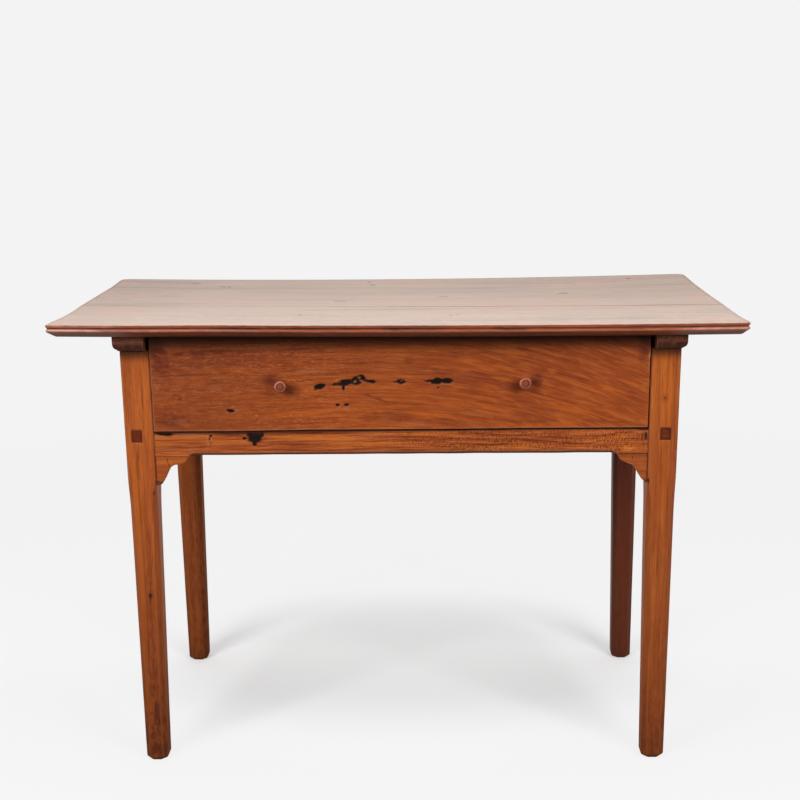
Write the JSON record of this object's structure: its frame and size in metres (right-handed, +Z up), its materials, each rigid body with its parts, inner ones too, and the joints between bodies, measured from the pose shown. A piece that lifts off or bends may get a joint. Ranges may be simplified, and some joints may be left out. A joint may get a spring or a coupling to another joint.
{
  "type": "tavern table",
  "caption": "Wooden tavern table: a moulded plank top on cleats, square tapered legs, shaped brackets and a wide drawer with turned knobs that slides out at the front.",
  "frame": {"origin": "on the floor under the middle of the table top", "axes": "+X along the length, to the right seen from the drawer front; +Y from the drawer front to the back; +Z up"},
  "size_m": [1.068, 0.516, 0.7525],
  "materials": {
    "top": "old waxed and bleached surface, satin",
    "cleat": "dark oxidised wood, dull",
    "leg": "warm golden brown, waxed",
    "apron": "warm brown, waxed",
    "rail": "orange brown with dark streaks, waxed",
    "drawer_front": "orange red brown, waxed and crazed",
    "secondary": "bare planed softwood, aged",
    "knob": "turned hardwood, polished by hands",
    "peg": "dark end grain",
    "iron": "wrought nails, dark and lightly rusted"
  },
  "bodies": {
    "frame": {"top_board_front": "top", "top_board_back": "top", "cleat_left": "cleat", "cleat_right": "cleat", "leg_front_left": "leg", "leg_front_right": "leg", "leg_back_left": "leg", "leg_back_right": "leg", "side_apron_left": "apron", "side_apron_right": "apron", "back_apron": "apron", "front_rail": "rail", "rail_patch": "rail", "bracket_left": "rail", "bracket_right": "rail", "drawer_runner_left": "secondary", "drawer_runner_right": "secondary", "drawer_guide_left": "secondary", "drawer_guide_right": "secondary", "drawer_stops": "secondary", "joint_pegs": "peg", "top_nails": "iron", "guide_nails": "iron", "bracket_brads": "iron"},
    "drawer": {"drawer_front": "drawer_front", "drawer_back": "secondary", "drawer_side_left": "secondary", "drawer_side_right": "secondary", "drawer_bottom_front": "secondary", "drawer_bottom_back": "secondary", "drawer_bottom_nails": "iron", "knob_left": "knob", "knob_right": "knob"}
  },
  "joints": [
    {"name": "drawer_slide", "type": "slide", "parent": "frame", "child": "drawer", "axis": [0, -1, 0], "range_m": [0, 0.28]}
  ]
}
